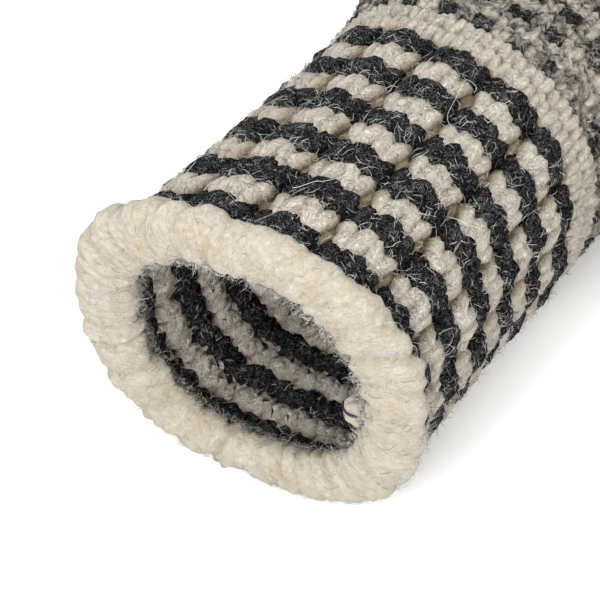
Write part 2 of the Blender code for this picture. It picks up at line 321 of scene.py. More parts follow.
def signed_volume(points, quads, triangles):
    """Six times the volume inside the faces, below zero where they point inwards."""
    fans = np.concatenate([quads[:, [0, 1, 2]], quads[:, [0, 2, 3]], triangles])
    a, b, c = (points[fans[:, k]] for k in range(3))
    return np.einsum("ij,ij->i", a, np.cross(b, c)).sum()


def to_world(points, side):
    """From a mitten's own frame to its place. The right mitten is the mirror image of the left one."""
    mirror = 1.0 if side == "left" else -1.0
    offset = np.array([-mirror * MITTEN_SPACING / 2, MITTEN_START, 0.0])
    return points * (mirror, 1.0, 1.0) + offset


def make_piece(name, side, points, quads, triangles=None, attributes=None, material=None):
    """A mesh object from arrays, with its faces pointing out, that rides on the pair's one body."""
    points = np.asarray(points, float).reshape(-1, 3)
    triangles = np.zeros((0, 3), int) if triangles is None else triangles
    points = to_world(points, side)
    points[:, 2] = np.maximum(points[:, 2], 0.0)
    if signed_volume(points, quads, triangles) < 0:
        quads, triangles = quads[:, ::-1], triangles[:, ::-1]
    mesh = bpy.data.meshes.new(name)
    corners = np.concatenate([quads.ravel(), triangles.ravel()])
    starts = np.concatenate([np.arange(len(quads)) * 4, 4 * len(quads) + np.arange(len(triangles)) * 3])
    mesh.vertices.add(len(points))
    mesh.vertices.foreach_set("co", points.ravel())
    mesh.loops.add(len(corners))
    mesh.loops.foreach_set("vertex_index", corners)
    mesh.polygons.add(len(starts))
    mesh.polygons.foreach_set("loop_start", starts)
    for label, values in (attributes or {}).items():
        values = np.asarray(values, float)
        kind, field = ("FLOAT", "value") if values.ndim == 1 else ("FLOAT_VECTOR", "vector")
        mesh.attributes.new(label, kind, "POINT").data.foreach_set(field, values.ravel())
    mesh.update(calc_edges=True)
    mesh.shade_smooth()
    piece = bpy.data.objects.new(name, mesh)
    bpy.context.scene.collection.objects.link(piece)
    piece.data.materials.append(material)
    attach(piece, ROOT)
    return piece


# ======== yarn

def yarn_tube(path, out, radius_out, radius_side, turn):
    """Rings of a closed round of yarn, ellipses across its path, and each point's place in the strand."""
    tangent = unit(np.roll(path, -1, axis=0) - np.roll(path, 1, axis=0))
    side = unit(np.cross(tangent, out))
    over = np.cross(side, tangent)
    rings = path[:, None] + radius_out[:, None, None] * np.cos(turn)[:, None] * over[:, None]
    rings = rings + radius_side[:, None, None] * np.sin(turn)[:, None] * side[:, None]
    length = np.cumsum(np.linalg.norm(np.roll(path, -1, axis=0) - path, axis=1))
    strand = np.stack(np.broadcast_arrays(
        length[:, None],
        radius_side[:, None] * np.cos(turn),
        radius_side[:, None] * np.sin(turn),
    ), axis=-1)
    return rings, strand


def join_rounds(rounds, surface, sides, form, seed):
    """The points, quads and attributes of closed rounds of yarn over a surface.

    A round is its share of the way round, distance along, depth, radius and shade, each for all its points.
    The form is the yarn's thickness out and across, and the heights and lengths of its swellings."""
    thickness, swellings = form
    turn = np.linspace(0.0, 2 * math.pi, sides, endpoint=False)
    points, quads, shades, strands, sinking, first = [], [], [], [], [], 0
    for index, (share, along, depth, radius, shade) in enumerate(rounds):
        path = surface(share, along, depth)
        out = unit(surface(share, along, depth - OUT_STEP) - path)
        rings, strand = yarn_tube(path, out, radius * thickness[0], radius * thickness[1], turn)
        swell = sum(height * lumps(rings, length, seed + number)
                    for number, (height, length) in enumerate(swellings))
        rings = rings + swell[..., None] * unit(rings - path[:, None])
        quads.append(grid_quads(len(path), sides, True, True, first=first))
        first += len(path) * sides
        points.append(rings.reshape(-1, 3))
        strands.append((strand + (STRAND_SHIFT * index, 0.0, 0.0)).reshape(-1, 3))
        shades.append(np.repeat(shade, sides))
        sinking.append((depth[:, None] - radius[:, None] * np.cos(turn)).ravel())
    attributes = {"shade": np.concatenate(shades), "strand": np.concatenate(strands)}
    return np.concatenate(points), np.concatenate(quads), np.concatenate(sinking), attributes


def stitch_turns(columns, samples):
    """Each point's stitch number, and its turn: 0 at a loop's head and half a turn at its foot."""
    number = np.arange(columns * samples) // samples
    turn = np.tile(np.linspace(-math.pi, math.pi, samples, endpoint=False), columns)
    return number, turn


# Points to a stitch and sides to the yarn. The right mitten stands further off, so it has fewer.
Detail = collections.namedtuple("Detail", "samples sides")
CUFF_DETAIL = {"left": Detail(13, 8), "right": Detail(9, 6)}
LINING_DETAIL = {"left": Detail(9, 7), "right": Detail(6, 5)}
HAND_DETAIL = {"left": Detail(7, 5), "right": Detail(6, 5)}

# The yarn's thickness out and across, as shares of its radius, and the heights and lengths of its swellings.
CUFF_FORM = (0.95, 1.08), ((0.00028, 0.0042), (0.00012, 0.0018))
HAND_FORM = (0.97, 1.03), ((0.0002, 0.0035),)

# How a stitch of the cuff's outer yarn swings across, along and out, and its radius.
Stitch = collections.namedtuple("Stitch", "across along out radius")
SUNK_STITCH = Stitch(0.0007, 0.0020, -0.0005, 0.00172)
PLAIN_STITCH = Stitch(0.0014, 0.0047, 0.0011, 0.00212)
OUTER_DEPTH, INNER_DEPTH = 0.0031, 0.0052       # of the middle of the cuff's two layers of yarn


def rib_place(number, turn):
    """Where each point of a cuff round is: its rib, its place in the rib, and -1 to 1 from sunk to plain."""
    place = number + turn / (2 * math.pi) + 0.5
    rib = np.floor(place / 3)
    in_rib = np.interp(place - 3 * rib, (0, 1, 2, 3), COLUMN_EDGES)
    to_sunk = np.abs(np.mod(place + 1.0, 3.0) - 1.5)
    return rib, in_rib, np.tanh((to_sunk - 0.5) / 0.16)


def cuff_round(index, rng, samples):
    """One round of the cuff's outer yarn: two plain stitches and a sunk one in turn.

    Along: a cosine from foot to head, shorter on sunk stitches. Across: a double sine that narrows the
    loop's base. Depth: a double cosine that brings the legs of plain stitches out."""
    number, turn = stitch_turns(CUFF_STITCHES, samples)
    rib, in_rib, plain = rib_place(number, turn)
    raised = (plain + 1) / 2
    swing = Stitch(*(sunk + (plain - sunk) * raised for sunk, plain in zip(SUNK_STITCH, PLAIN_STITCH)))
    wobble = rng.normal(0, 1, (4, CUFF_STITCHES))[:, number]
    across = swing.across * np.sin(2 * turn) + 0.00025 * wobble[0]
    share = (rib + RIB_PHASE + in_rib + across / RIB_WIDTH) / RIB_COUNT
    centre = FIRST_ROUND + ROUND_PITCH * index - 0.0012 * (1 - raised)
    along = centre + swing.along * np.cos(turn) + 0.0003 * wobble[1]
    dark = 1 - index % 2
    depth = OUTER_DEPTH - 0.0002 * dark + rib_depth(share) + 0.0002 * wobble[2] + swing.out * np.cos(2 * turn)
    radius = swing.radius * (1.04 + 0.01 * dark)
    radius = radius * (1 + 0.04 * wobble[3] - 0.10 * raised * np.cos(2 * turn))
    return share, along, depth, radius, np.full(len(share), float(dark))


def lining_round(index, rng, samples):
    """One round of the cuff's inner yarn: a plump slanted bump to each stitch.

    Along: a sine sharpened by a double sine. Radius: largest in the middle of each stitch."""
    number, turn = stitch_turns(CUFF_STITCHES, samples)
    rib, in_rib, _ = rib_place(number, turn)
    wobble = rng.normal(0, 1, (4, CUFF_STITCHES))[:, number]
    share = (rib + RIB_PHASE + in_rib + 0.0003 * wobble[0] / RIB_WIDTH) / RIB_COUNT
    centre = FIRST_ROUND + ROUND_PITCH * index
    along = centre + 0.0014 * np.sin(turn) + 0.0006 * np.sin(2 * turn) + 0.0003 * wobble[1]
    depth = INNER_DEPTH + 0.45 * rib_depth(share) - 0.0003 * np.cos(turn) + 0.0002 * wobble[2]
    radius = 0.00235 + 0.00055 * np.cos(turn) + 0.0001 * wobble[3]
    return share, along, depth, radius, np.full(len(share), 1.0 - index % 2)


def make_cuff_layer(name, side, one_round, seed, detail):
    """A layer of the cuff's rounds, charcoal and cream in turn, each a closed round of yarn."""
    rng = np.random.default_rng(seed)
    rounds = [one_round(index, rng, detail.samples) for index in range(CUFF_ROUNDS)]
    points, quads, sunk, attributes = join_rounds(rounds, cuff_point, detail.sides, CUFF_FORM, seed + 3)
    # How deep each point lies below the cuff's outer or inner face, in millimetres: the material paints shade
    # there, tanner and dimmer the deeper it is.
    from_inside = np.abs(CUFF_WALL + 0.0008 - sunk)
    attributes["recess"] = np.minimum(sunk, from_inside) * 1000
    turn = np.linspace(0, 2 * math.pi, detail.sides, endpoint=False)
    # How far each point faces sideways, towards the next yarn: the material paints shade there and lays more
    # dark hairs.
    attributes["edge"] = np.tile(np.sin(turn) ** 2, len(points) // detail.sides)
    piece = make_piece(name, side, points, quads, attributes=attributes,
                       material=wool_material("striped wool"))
    return piece


# Plain knitting over a surface: its girth, where its rounds start and end, how far the yarn swings in and
# out, the yarn's radius, and the last round with no flecks.
Knitting = collections.namedtuple("Knitting", "surface girth start end swing radius plain_round")
HAND_KNITTING = Knitting(hand_point, hand_girth, 0.0022, HAND_MERIDIAN[-1] - 0.004, 0.00115, 0.0019, 1)
THUMB_KNITTING = Knitting(thumb_point, thumb_girth, 0.0225, THUMB_LENGTH - 0.006, 0.00105, 0.0018, -1)


def plain_rounds(knitting, rng, samples):
    """Rounds of plain knitting, with as many stitches as fit: fewer and fewer towards the tip."""
    columns = 0
    rounds = int((knitting.end - knitting.start) / HAND_ROUND_PITCH) + 1
    for index in range(rounds):
        centre = knitting.start + HAND_ROUND_PITCH * index
        room = knitting.girth(centre)
        wanted = max(LEAST_STITCHES, 2 * round(room / STITCH_WIDTH / 2))
        if columns == 0 or abs(wanted - columns) > 1 and index % 2 == 0 or wanted < columns - 3:
            columns = wanted
        number, turn = stitch_turns(columns, samples)
        wide = room / columns
        wobble = rng.normal(0, 1, (4, columns))[:, number]
        across = wide * (number + turn / (2 * math.pi) + 0.5)
        across = across + 0.22 * wide * np.sin(2 * turn) + 0.0002 * wobble[0]
        along = centre + 0.70 * HAND_ROUND_PITCH * np.cos(turn) + 0.00025 * wobble[1]
        radius = knitting.radius * min(1.0, wide / STITCH_WIDTH + 0.15) * (1 + 0.05 * wobble[2])
        depth = knitting.swing + knitting.radius + knitting.swing * np.cos(2 * turn) + 0.0001 * wobble[3]
        flecked_round = index % 2 == 0 and index > knitting.plain_round
        fleck = flecked_round & ((number + index // 2) % FLECK_EVERY == 0)
        shade = np.where(fleck, 0.60 + 0.15 * wobble[0], 0.04 + 0.06 * wobble[1]) - (index < 2) * 0.8
        yield across / room, along, depth, radius, shade


def make_plain_yarn(name, side, knitting, seed):
    """The yarn of a hand or thumb: cream rounds, some of them flecked with charcoal."""
    detail = HAND_DETAIL[side]
    rounds = plain_rounds(knitting, np.random.default_rng(seed), detail.samples)
    points, quads, sunk, attributes = join_rounds(rounds, knitting.surface, detail.sides, HAND_FORM, seed + 3)
    # How deep each point lies below the hand's or thumb's surface, in millimetres, where the material paints
    # shade.
    attributes["recess"] = np.clip(sunk, 0, None) * 1000
    piece = make_piece(name, side, points, quads, attributes=attributes,
                       material=wool_material("flecked wool"))
    return piece


# ======== cloth shells under the yarn

def shell(name, side, outer, inner, material, poles=(), attributes=None):
    """A thin wall from a grid of points outside and one inside, joined at their open ends.

    Two poles, the inner one first, close the far end of both."""
    rows, columns = outer.shape[:2]
    if len(poles) == 0:
        points = np.concatenate([outer, inner[::-1]]).reshape(-1, 3)
        return make_piece(name, side, points, grid_quads(2 * rows, columns, True, True),
                          attributes=attributes, material=material)
    points = np.concatenate([inner[::-1], outer]).reshape(-1, 3)
    return make_piece(name, side, np.concatenate([points, poles]), grid_quads(2 * rows, columns, False, True),
                      pole_triangles(columns, len(points)), material=material)


def make_cuff_shell(side):
    """The cuff's cloth between its yarn: a ribbed tube in the middle of the wall, striped as the yarn is."""
    share, along = np.meshgrid(np.arange(96) / 96, np.linspace(0.006, CUFF_END, 40))
    outer, inner = (cuff_point(share, along, depth + rib_depth(share)) for depth in CUFF_CLOTH)
    shade = 0.5 + 0.5 * np.cos(math.pi * (along - FIRST_ROUND) / ROUND_PITCH)
    shade = np.concatenate([shade.ravel(), shade[::-1].ravel()])
    # The cloth shows only between the yarn; its fixed recess of 2.4 has the material paint it tanner, with
    # dimmer light hairs, as shade.
    piece = shell(f"{side}_cuff_cloth", side, outer, inner, wool_material("striped wool"),
                  attributes={"shade": shade, "recess": 0 * shade + 2.4})
    return piece


def make_hand_shell(side):
    """The hand's cloth between its yarn: a bag in the middle of the wall, closed at the tip."""
    share, meridian = np.meshgrid(np.arange(72) / 72, np.linspace(-0.001, HAND_MERIDIAN[-1] - 0.002, 40))
    outer, inner = (hand_point(share, meridian, depth) for depth in HAND_CLOTH)
    tip = SECTIONS[-1]
    poles = [(tip.aside, HAND_LENGTH - depth, tip.height / 2 - FLATTENING) for depth in HAND_CLOTH[::-1]]
    piece = shell(f"{side}_hand_cloth", side, outer, inner, wool_material("hand cloth"), poles)
    return piece


def make_thumb_shell(side):
    """The thumb's cloth between its yarn: a closed-ended tube in the middle of the wall."""
    share, at = np.meshgrid(np.arange(40) / 40, np.linspace(0.020, THUMB_LENGTH - 0.0045, 22))
    outer, inner = (thumb_point(share, at, depth) for depth in THUMB_CLOTH)
    poles = [thumb_point(np.array(0.0), np.array(THUMB_LENGTH), depth) for depth in THUMB_CLOTH[::-1]]
    piece = shell(f"{side}_thumb_cloth", side, outer, inner, wool_material("hand cloth"), poles)
    return piece


# ======== rim

def rim_ridges(share, turn, count, lean, seed):
    """Soft uneven ridges that lean over the roll, this many round it: -1 in the creases, 1 on top."""
    rng = np.random.default_rng(seed)
    shift = rng.normal(0, 0.22, count)
    strength = rng.uniform(0.45, 1.15, count)
    place = share * count + lean * np.sin(turn + 0.6)
    place = place + np.interp(np.mod(place, count), np.arange(count), shift, period=count)
    wave = np.abs(np.sin(math.pi * place)) ** 0.8
    height = np.interp(np.mod(place, count), np.arange(count) + 0.5, strength, period=count)
    return (2 * wave - 1) * height


def make_rim(side, seed):
    """The rolled cast-on edge: a roll with broad puffs, a ridge to each stitch, and soft lumps all over."""
    share, turn = np.meshgrid(np.arange(432) / 432, np.linspace(0, 2 * math.pi, 26, endpoint=False))
    plain = rim_point(share, turn, 0 * share)
    puffs = rim_ridges(share, turn, CUFF_STITCHES // 2, 0.22, seed)
    ridges = rim_ridges(share, turn, CUFF_STITCHES, 0.35, seed + 5)
    out = 0.00065 * puffs + 0.00035 * ridges + 0.0003 * np.cos(turn)
    out = out + 0.0003 * lumps(plain, 0.014, seed + 1) + 0.00035 * lumps(plain, 0.0045, seed + 2)
    # How deep in a crease each point lies, from 0 to 1: the rim's material paints shade, tanner, there.
    crease = np.clip(-0.65 * puffs - 0.35 * ridges, 0, 1)
    roll = RIM_THICKNESS / 2
    far = RIM_GIRTH[0] / (2 * math.pi) + 0.2 * roll * np.cos(turn)
    around = 2 * math.pi * share
    strand = np.stack([roll * np.sin(turn), far * np.cos(around), far * np.sin(around)], axis=-1)
    piece = make_piece(f"{side}_rim_roll", side, rim_point(share, turn, out),
                       grid_quads(*share.shape, True, True),
                       attributes={"crease": crease.ravel(), "strand": strand.reshape(-1, 3)},
                       material=rim_material())
    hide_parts(f"{side}_rim")
    return piece


# ======== loose hairs

HAIR_POINTS = 4

# How hairs lie: their shortest and greatest length, how strongly they bend, their least and greatest
# height in the middle, and how far an end may stand off.
Curl = collections.namedtuple("Curl", "length bend height lift")
CUFF_CURL = Curl((0.0018, 0.0055), 520, (0.0002, 0.0010), 0.0024)
LINING_CURL = Curl((0.0018, 0.0055), 520, (0.0002, 0.0012), 0.0024)
HAND_CURL = Curl((0.0020, 0.0065), 400, (0.0002, 0.0010), 0.0020)


def curling(rng, count, curl):
    """Hairs on a flat surface: (across, along, height) of their points.

    The heading starts at random and turns by a bend that drifts, and the steps add up to the length.
    The height rises from the root and falls again, and a lifted hair's end stands off."""
    shortest, longest = curl.length
    step = (shortest + (longest - shortest) * rng.random((count, 1)) ** 1.5) / (HAIR_POINTS - 1)
    bend = rng.normal(0, curl.bend, (count, 1))
    bend = bend + rng.normal(0, 0.5 * curl.bend, (count, HAIR_POINTS)).cumsum(axis=1)
    heading = rng.uniform(0, 2 * math.pi, (count, 1)) + np.cumsum(bend * step, axis=1)
    across = np.cumsum(np.cos(heading) * step, axis=1)
    along = np.cumsum(np.sin(heading) * step, axis=1)
    t = np.linspace(0, 1, HAIR_POINTS)
    top = rng.uniform(*curl.height, (count, 1))
    rise = curl.lift * rng.random((count, 1)) ** 3 * t**2
    return across, along, top * np.sin(math.pi * np.clip(t * 0.92, 0, 1)) ** 0.6 + rise


def hair_mesh(name, side, paths, radius, tone, slot):
    """Thin three-sided hairs that taper to a point, each along its own path."""
    count, points = paths.shape[:2]
    tangent = unit(np.gradient(paths, axis=1))
    side_way = unit(np.cross(tangent, np.array([0.31, 0.17, 0.93])))
    over = np.cross(side_way, tangent)
    turn = np.radians((90.0, 210.0, 330.0))
    taper = 1 - 0.55 * np.linspace(0, 1, points) ** 2
    thick = (radius[:, None] * taper)[:, :-1, None, None]
    ring = np.cos(turn)[:, None] * over[:, :-1, None] + np.sin(turn)[:, None] * side_way[:, :-1, None]
    rings = paths[:, :-1, None] + thick * ring
    each = (points - 1) * 3 + 1
    vertices = np.concatenate([rings.reshape(count, -1, 3), paths[:, -1:]], axis=1)
    quads = grid_quads(points - 1, 3, False, True)
    last = (points - 2) * 3
    ends = np.array([[2, 1, 0], [last, last + 1, each - 1], [last + 1, last + 2, each - 1],
                     [last + 2, last, each - 1]])
    shift = (np.arange(count) * each)[:, None, None]
    piece = make_piece(name, side, vertices, (quads + shift).reshape(-1, 4), (ends + shift).reshape(-1, 3),
                       attributes={"tone": np.repeat(tone, each)}, material=hair_material())
    return piece


def cuff_hairs(rng, count):
    """Hairs that lie curled over the outside of the cuff, most of them across the edges of its stripes."""
    share = rng.random((count, 1))
    border = FIRST_ROUND + ROUND_PITCH * (rng.integers(-1, CUFF_ROUNDS, (count, 1)) + 0.5)
    border = border + rng.normal(-0.0008, 0.0012, (count, 1))
    along = np.where(rng.random((count, 1)) < 0.6, border, rng.uniform(0.008, 0.084, (count, 1)))
    across, forward, height = curling(rng, count, CUFF_CURL)
    share = share + across / BODY_GIRTHS[0]
    return cuff_point(share, along + forward, rib_depth(share) + 0.0006 - height)


def lining_hairs(rng, count):
    """Hairs over the inside of the cuff, most of them near the mouth."""
    share = rng.random((count, 1))
    along = 0.004 + 0.055 * rng.random((count, 1)) ** 2.4
    across, forward, height = curling(rng, count, LINING_CURL)
    share = share + across / BODY_GIRTHS[0]
    return cuff_point(share, along + forward, CUFF_WALL + 0.4 * rib_depth(share) + height)


def rim_hairs(rng, count, around, turns, lift):
    """Fine hairs that stand off the rim. Around and turns are the middle and spread of where they start."""
    share = rng.normal(*around, (count, 1))
    turn = rng.normal(*turns, (count, 1))
    across, forward, height = curling(rng, count, Curl((0.0015, 0.0048), 480, (0.0003, 0.0016), lift))
    share = share + across / RIM_GIRTH[0]
    turn = turn + forward / (0.25 * (RIM_THICKNESS + RIM_LENGTH))
    return rim_point(share, turn, height + 0.00015)


def hand_hairs(rng, count):
    """Hairs that lie over the hand."""
    meridian = rng.uniform(0.0, HAND_MERIDIAN[-1] - 0.012, (count, 1))
    kept = np.interp(meridian, HAND_MERIDIAN, HAND_KEPT)
    share = rng.random((count, 1))
    across, forward, height = curling(rng, count, HAND_CURL)
    share = share + across / (BODY_GIRTHS[-1] * np.maximum(kept, 0.15))
    return hand_point(share, np.clip(meridian + forward, 0, HAND_MERIDIAN[-1] - 0.001), 0.0004 - height)


def thumb_hairs(rng, count):
    """Hairs that lie over the thumb."""
    at = rng.uniform(0.026, THUMB_LENGTH - 0.006, (count, 1))
    share = rng.random((count, 1))
    across, forward, height = curling(rng, count, HAND_CURL)
    share = share + across / (2 * math.pi * THUMB_RADIUS[1])
    return thumb_point(share, np.clip(at + forward, 0.02, THUMB_LENGTH - 0.001), 0.0004 - height)


EVERYWHERE = (0.0, 20.0)        # a middle and a spread so wide that hairs start all the way round
ALL_RIM = functools.partial(rim_hairs, around=EVERYWHERE, turns=EVERYWHERE, lift=0.0014)
RIM_TOP = functools.partial(rim_hairs, around=(0.43, 0.11), turns=(2.9, 0.35), lift=0.0034)
RIM_EDGE = functools.partial(rim_hairs, around=EVERYWHERE, turns=(2.45, 0.25), lift=0.0026)

# Each set's share of a mitten's hairs, what is added to its seed, its radius, and how many of it are dark.
HairSet = collections.namedtuple("HairSet", "label place share shift radius dark slot")
HAIR_SETS = (
    HairSet("cuff", cuff_hairs, 0.43, 0, 0.00005, 0.45, "striped_wool"),
    HairSet("cuff_lining", lining_hairs, 0.16, 1, 0.00005, 0.55, "striped_wool"),
    HairSet("rim", ALL_RIM, 0.12, 2, 0.00004, 0.15, "cream_wool"),
    HairSet("rim_top", RIM_TOP, 0.08, 5, 0.00005, 0.0, "cream_wool"),
    HairSet("rim_edge", RIM_EDGE, 0.08, 6, 0.00005, 0.75, "cream_wool"),
    HairSet("hand", hand_hairs, 0.11, 3, 0.00005, 0.45, "flecked_wool"),
    HairSet("thumb", thumb_hairs, 0.02, 4, 0.00005, 0.45, "flecked_wool"),
)
DARK_TONE = 0.04
STRAY_RADIUS = 0.00006
STRAY_HAIRS = (            # share of the way round and distance along, of points that each hair passes
    ((0.445, 0.072), (0.448, 0.074), (0.458, 0.073), (0.4525, 0.067), (0.444, 0.060), (0.421, 0.057),
     (0.392, 0.060)),
    ((0.494, 0.020), (0.490, 0.021), (0.484, 0.024), (0.479, 0.025), (0.474, 0.027), (0.470, 0.029),
     (0.466, 0.030)),
)


def stray_hairs(steps=6):
    """Two long hairs over the left cuff: cubics through their points, with slopes from the neighbours."""
    rows = np.array(STRAY_HAIRS)
    slopes = np.gradient(rows, axis=1)
    place = np.linspace(0, rows.shape[1] - 1, steps * rows.shape[1])
    before = np.minimum(place.astype(int), rows.shape[1] - 2)
    t = (place - before)[:, None]
    paths = cubic(rows[:, before], rows[:, before + 1], slopes[:, before], slopes[:, before + 1], t)
    share, along = paths[..., 0], paths[..., 1]
    return cuff_point(share, along, 0.5 * rib_depth(share) - 0.0009)


# ======== knot

def make_knot(side, seed):
    """A yarn end pulled into a knot: a spindle with a waist and soft lumps."""
    share, height = np.meshgrid(np.arange(36) / 36, np.cos(np.linspace(0, math.pi, 30))[1:-1])
    angle = 2 * math.pi * share
    waist = 1 - 0.22 * np.exp(-((height / 0.25) ** 2))
    radius = KNOT_RADIUS * (1 - height**2) ** 0.4 * waist
    points = np.stack([radius * np.cos(angle), radius * np.sin(angle), KNOT_LENGTH / 2 * height], axis=-1)
    points = points * (1 + 0.07 * lumps(points, 0.003, seed)[..., None]) + KNOT_PLACE
    poles = np.array(KNOT_PLACE) + ((0, 0, KNOT_LENGTH / 2), (0, 0, -KNOT_LENGTH / 2))
    piece = make_piece("left_knotted_end", side, np.concatenate([points.reshape(-1, 3), poles]),
                       grid_quads(*share.shape, False, True), pole_triangles(share.shape[1], share.size),
                       material=rim_material())
    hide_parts("left_yarn_knot")
    return piece


# ======== materials

def new_material(name):
    material = bpy.data.materials.new(name)
    material.use_nodes = True
    return material, material.node_tree, material.node_tree.nodes["Principled BSDF"]


def fill_inputs(tree, made, inputs):
    """Links or sets these inputs of a node, by name or number."""
    for key, value in inputs.items():
        if isinstance(value, bpy.types.NodeSocket):
            tree.links.new(value, made.inputs[key])
        else:
            made.inputs[key].default_value = value


def node(tree, kind, inputs, **settings):
    """The outputs of a new node with these inputs and settings."""
    made = tree.nodes.new(kind)
    for key, value in settings.items():
        setattr(made, key, value)
    fill_inputs(tree, made, inputs)
    return made.outputs


def maths(tree, operation, first, second=0.0, clamp=False):
    return node(tree, "ShaderNodeMath", {0: first, 1: second}, operation=operation, use_clamp=clamp)[0]


def times(tree, first, second, plus=0.0):
    return node(tree, "ShaderNodeMath", {0: first, 1: second, 2: plus}, operation="MULTIPLY_ADD")[0]


def mixed(tree, factor, first, second):
    """The first colour where factor is 0 and the second where it is 1, by the node's sockets for colours."""
    return node(tree, "ShaderNodeMix", {0: factor, 6: first, 7: second}, data_type="RGBA")[2]


def noise(tree, place, scale, detail, roughness=0.5, distortion=0.0):
    return node(tree, "ShaderNodeTexNoise", {"Vector": place, "Scale": scale, "Detail": detail,
                                             "Roughness": roughness, "Distortion": distortion})[0]


def ranged(tree, value, low, high, least=0.0, most=1.0):
    """Least where the value is low, most where it is high, and even between."""
    inputs = {"Value": value, "From Min": low, "From Max": high, "To Min": least, "To Max": most}
    return node(tree, "ShaderNodeMapRange", inputs)[0]


def attribute(tree, name, output="Fac"):
    return node(tree, "ShaderNodeAttribute", {}, attribute_name=name)[output]


def new_group(name, vectors, values, results):
    """A shader node group of vectors and values that gives values, its inputs and its output node."""
    group = bpy.data.node_groups.new(name, "ShaderNodeTree")
    sockets = [(label, "INPUT", "NodeSocketVector") for label in vectors]
    sockets += [(label, "INPUT", "NodeSocketFloat") for label in values]
    sockets += [(label, "OUTPUT", "NodeSocketFloat") for label in results]
    for label, way, kind in sockets:
        group.interface.new_socket(label, in_out=way, socket_type=kind)
    return group, group.nodes.new("NodeGroupInput").outputs, group.nodes.new("NodeGroupOutput")


def hair_net_group():
    """Curled loose hairs as lines: where a warped noise passes through its middle value.

    Nets of three sizes are laid over each other, and a slow noise thins them in places."""
    name = "loose hair net"
    if name in bpy.data.node_groups:
        return bpy.data.node_groups[name]
    group, given, result = new_group(name, ["Vector"], ["Scale", "Width", "Spread"], ["Hairs"])
    net = 0.0
    for finer, distortion, strength in ((1.0, 1.4, 1.0), (1.7, 0.9, 0.9), (2.9, 0.5, 0.6)):
        warped = noise(group, given["Vector"], times(group, given["Scale"], finer), 1.0, 0.4, distortion)
        away = maths(group, "ABSOLUTE", maths(group, "SUBTRACT", warped, 0.5))
        near = maths(group, "SUBTRACT", 1.0, maths(group, "DIVIDE", away, given["Width"]), clamp=True)
        net = maths(group, "MAXIMUM", net, times(group, near, strength))
    cover = ranged(group, noise(group, given["Vector"], 260.0, 2.0), 0.35, 0.65, least=given["Spread"])
    fill_inputs(group, result, {"Hairs": times(group, net, cover)})
    return group


def hair_net(tree, place, scale, width, spread):
    inputs = {"Vector": place, "Scale": scale, "Width": width, "Spread": spread}
    return node(tree, "ShaderNodeGroup", inputs, node_tree=hair_net_group())["Hairs"]


def nap_group():
    """The felted surface of wool: fibre streaks along the yarn over soft lumps, and a slow change of tone."""
    name = "wool nap"
    if name in bpy.data.node_groups:
        return bpy.data.node_groups[name]
    group, given, result = new_group(name, ["Vector", "Strand"], [], ["Height", "Tone", "Fibres"])
    drawn_out = node(group, "ShaderNodeVectorMath", {0: given["Strand"], 1: (0.20, 1.0, 1.0)},
                     operation="MULTIPLY")[0]
    streak = noise(group, drawn_out, 1900.0, 2.0, 0.6, 0.8)
    lump = noise(group, given["Vector"], 750.0, 5.0, 0.75, 0.8)
    tone = noise(group, given["Vector"], 220.0, 4.0, 0.65)
    fill_inputs(group, result, {"Height": times(group, streak, 0.5, plus=times(group, lump, 0.9)),
                                "Tone": ranged(group, tone, 0.3, 0.7),
                                "Fibres": ranged(group, streak, 0.40, 0.70)})
    return group


def wool_nap(tree, place):
    inputs = {"Vector": place, "Strand": attribute(tree, "strand", "Vector")}
    return node(tree, "ShaderNodeGroup", inputs, node_tree=nap_group())


def finish_wool(tree, shader, colour, height, distance, sheen=0.0):
    """Gives a shader a colour and a bumpy matt surface."""
    bump = node(tree, "ShaderNodeBump", {"Height": height, "Strength": 1.0, "Distance": distance})[0]
    fill_inputs(tree, shader, {"Base Color": colour, "Roughness": 1.0, "Specular IOR Level": 0.0,
                               "Sheen Weight": sheen, "Normal": bump})


def wool_material(name):
    """Wool of a knitted piece: cream or charcoal by its shade attribute, with painted shade, darker and
    tanner, in its recesses and at its yarn's sides.
    """
    if name in bpy.data.materials:
        return bpy.data.materials[name]
    colours = bpy.context.scene.mitten_colours
    material, tree, shader = new_material(name)
    place = node(tree, "ShaderNodeTexCoord", {})["Object"]
    shade, recess, edge = (attribute(tree, label) for label in ("shade", "recess", "edge"))
    nap = wool_nap(tree, place)
    net = hair_net(tree, place, 480.0, 0.022, 0.5)
    specks = hair_net(tree, place, 560.0, times(tree, edge, 0.045, plus=0.018), 0.2)
    # 0 near the surface and 1 deep in a recess: the mask of painted shade.
    sunk = ranged(tree, recess, 0.9, 3.0)
    cream = mixed(tree, nap["Tone"], colours.cream, colours.warm_cream)
    # Tan fibre streaks, which the wool has; then painted shade, tanner, at the sides of each yarn, where it
    # meets the next, and in the recesses.
    for mask in (times(tree, nap["Fibres"], 0.42), times(tree, edge, 0.30), sunk):
        cream = mixed(tree, mask, cream, colours.tan)
    crossing = times(tree, specks, times(tree, edge, 0.55, plus=0.35))
    cream = mixed(tree, crossing, cream, colours.speck)
    dark = mixed(tree, nap["Tone"], colours.charcoal, colours.soft_charcoal)
    # The light hairs in the dark wool are dimmed in the recesses: painted shade.
    dark = mixed(tree, times(tree, net, times(tree, sunk, -0.5, plus=0.95)), dark, colours.kemp)
    if name == "hand cloth":
        darkness = 0.35
    elif name == "flecked wool":
        grey = ranged(tree, noise(tree, place, 150.0, 6.0, 0.8, 0.8), 0.42, 0.60, most=0.96)
        darkness = maths(tree, "ADD", shade, grey, clamp=True)
    else:
        fringe = maths(tree, "ADD", shade, times(tree, nap["Tone"], 0.35, plus=-0.175))
        darkness = ranged(tree, fringe, 0.25, 0.75)
    height = times(tree, net, 0.35, plus=nap["Height"])
    finish_wool(tree, shader, mixed(tree, darkness, cream, dark), height, 0.0018)
    return material


